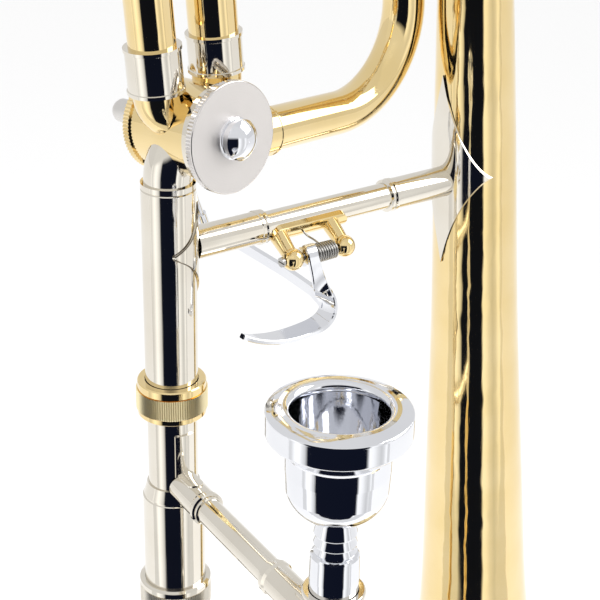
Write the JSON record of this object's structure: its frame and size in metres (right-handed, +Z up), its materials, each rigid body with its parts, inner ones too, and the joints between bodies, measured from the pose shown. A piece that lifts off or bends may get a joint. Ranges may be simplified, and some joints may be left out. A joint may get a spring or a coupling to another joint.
{
  "type": "tenor trombone",
  "caption": "Tenor trombone with a rotary valve and thumb trigger, hand slide, tuning slides, water key and mouthpiece.",
  "frame": {"origin": "on the slide receiver's axis, level with the hand brace, where the left hand holds the instrument", "axes": "+Z up the receiver's axis, away from the bell's mouth; +X from the receiver to the bell; -Y to the mouthpiece"},
  "size_m": [0.2906, 0.2226, 1.1737],
  "materials": {
    "gold_lacquer": "clear gold lacquer over polished brass",
    "nickel": "polished nickel silver",
    "nickel_satin": "satin turned nickel silver",
    "silver_plate": "polished silver plate",
    "steel": "spring steel",
    "cork": "natural cork",
    "rubber": "black rubber",
    "rotor_metal": "machined bronze"
  },
  "bodies": {
    "bell_section": {"bell": "gold_lacquer", "bell_rim_bead": "gold_lacquer", "bell_flange": "nickel", "bell_section_braces": "nickel", "hand_brace_tube": "nickel", "hand_brace_ferrules": "nickel", "receiver_flange": "nickel", "slide_receiver": "nickel", "gooseneck": "nickel", "main_windway_tube": "gold_lacquer", "f_return_tube": "gold_lacquer", "f_outgoing_tube": "gold_lacquer", "windway_ferrules": "nickel", "main_outer_tubes": "gold_lacquer", "f_outer_tubes": "gold_lacquer", "valve_casing": "gold_lacquer", "valve_back_ring": "gold_lacquer", "valve_bearings": "rotor_metal", "valve_front_collar": "nickel", "stop_plate": "nickel", "stop_corks": "cork", "trigger_saddle": "gold_lacquer", "trigger_pivot_screw": "steel", "trigger_spring": "steel"},
    "valve_cap": {"valve_cap": "nickel_satin", "valve_cap_button": "silver_plate"},
    "rotor": {"rotor": "rotor_metal", "rotor_spindle": "nickel_satin", "stop_arm": "nickel", "rotor_end_screw": "nickel"},
    "trigger": {"thumb_trigger": "silver_plate"},
    "trigger_link": {"trigger_link": "silver_plate"},
    "main_tuning_slide": {"main_tuning_bow": "gold_lacquer", "main_inner_tubes": "nickel", "main_slide_ferrules": "nickel", "main_slide_brace": "nickel"},
    "f_tuning_slide": {"f_tuning_bow": "gold_lacquer", "f_inner_tubes": "nickel", "f_slide_ferrules": "nickel", "f_slide_brace": "nickel"},
    "lock_nut": {"slide_lock_nut": "gold_lacquer"},
    "inner_slide": {"slide_tenon": "nickel", "cork_barrels": "nickel", "inner_slide_tubes": "nickel", "mouthpiece_receiver": "nickel", "leadpipe": "rotor_metal", "inner_brace_tube": "nickel", "inner_brace_ends": "nickel"},
    "slide_lock": {"slide_lock_ring": "nickel"},
    "outer_slide": {"outer_slide_tubes": "gold_lacquer", "outer_slide_sleeves": "nickel", "outer_brace_tube": "nickel", "outer_brace_ferrules": "nickel", "slide_bow": "gold_lacquer", "slide_bow_fittings": "nickel", "rubber_bumper": "rubber", "water_key_mount": "nickel"},
    "water_key": {"water_key_lever": "silver_plate", "water_key_cork": "cork"},
    "mouthpiece": {"mouthpiece": "silver_plate"}
  },
  "joints": [
    {"name": "hand_slide", "type": "slide", "parent": "inner_slide", "child": "outer_slide", "axis": [0, 0, -1], "range_m": [0, 0.58]},
    {"name": "slide_angle", "type": "hinge", "parent": "bell_section", "child": "inner_slide", "pos_m": [0, 0, 0], "axis": [0, 0, 1], "range_deg": [-12, 12]},
    {"name": "lock_nut_turn", "type": "hinge", "parent": "bell_section", "child": "lock_nut", "pos_m": [0, 0, -0.0432], "axis": [0, 0, 1], "continuous": true},
    {"name": "slide_lock_turn", "type": "hinge", "parent": "inner_slide", "child": "slide_lock", "pos_m": [0, 0, -0.1165], "axis": [0, 0, 1], "range_deg": [0, 40]},
    {"name": "mouthpiece_pull", "type": "slide", "parent": "inner_slide", "child": "mouthpiece", "axis": [0, 0, 1], "range_m": [0, 0.05]},
    {"name": "main_tuning", "type": "slide", "parent": "bell_section", "child": "main_tuning_slide", "axis": [-0.0851, 0, 0.9964], "range_m": [0, 0.055]},
    {"name": "f_tuning", "type": "slide", "parent": "bell_section", "child": "f_tuning_slide", "axis": [-0.0851, 0, 0.9964], "range_m": [0, 0.09]},
    {"name": "thumb_trigger", "type": "hinge", "parent": "bell_section", "child": "trigger", "pos_m": [0.0402, -0.012, -0.00755], "axis": [1, 0, 0], "range_deg": [0, 16], "stiffness_Nm_per_rad": 0.35, "springref_deg": -28.65},
    {"name": "rotor_turn", "type": "hinge", "parent": "bell_section", "child": "rotor", "pos_m": [0.00963, 0.00161, 0.03578], "axis": [0.2011, -0.977, 0.0703], "range_deg": [0, 51.97]},
    {"name": "link_swing", "type": "hinge", "parent": "trigger", "child": "trigger_link", "pos_m": [0.033, 0.0314, -0.014], "axis": [-0.9996, -0.0141, -0.0224], "range_deg": [0, 17.07]},
    {"name": "valve_cap_turn", "type": "hinge", "parent": "bell_section", "child": "valve_cap", "pos_m": [0.01305, -0.015, 0.03698], "axis": [0.2011, -0.977, 0.0703], "continuous": true},
    {"name": "water_key", "type": "hinge", "parent": "outer_slide", "child": "water_key", "pos_m": [0.00002, 0.00029, -0.78892], "axis": [0.9982, -0.0606, 0], "range_deg": [0, 9], "stiffness_Nm_per_rad": 0.08, "springref_deg": -22.92}
  ],
  "couplings": [
    {"joint": "rotor_turn", "follows": "thumb_trigger", "ratio": 3.2357},
    {"joint": "link_swing", "follows": "thumb_trigger", "ratio": 1.0547}
  ]
}
